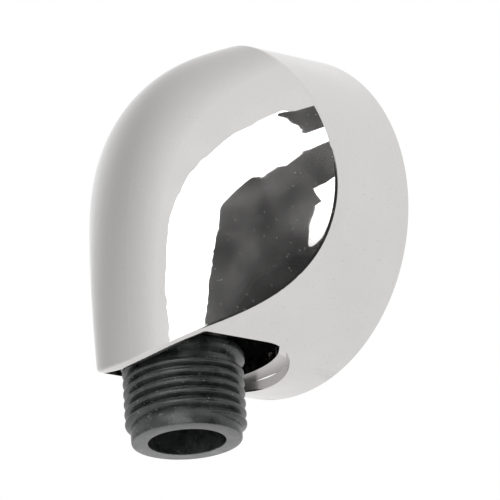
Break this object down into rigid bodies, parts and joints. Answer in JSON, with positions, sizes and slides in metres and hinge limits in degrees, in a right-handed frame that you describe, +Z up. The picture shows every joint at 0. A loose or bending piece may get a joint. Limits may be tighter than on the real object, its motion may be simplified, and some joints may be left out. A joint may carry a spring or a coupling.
{
  "type": "wall outlet elbow",
  "caption": "Round wall outlet elbow for a shower hose: a chromed hood over a black moulded waterway with a male hose thread pointing down.",
  "frame": {"origin": "centre of the wall socket's mouth, on the wall plane", "axes": "+Y into the wall along the socket's axis, +Z up, +X to the right of someone facing the wall"},
  "size_m": [0.06, 0.0422, 0.0732],
  "materials": {
    "chrome": "polished chrome plate",
    "black_plastic": "black moulded plastic, as moulded",
    "screw_steel": "zinc plated steel",
    "seal_rubber": "plain black rubber"
  },
  "bodies": {
    "root": {"cover": "chrome", "waterway": "black_plastic", "screws": "screw_steel", "seal": "seal_rubber"}
  },
  "joints": []
}
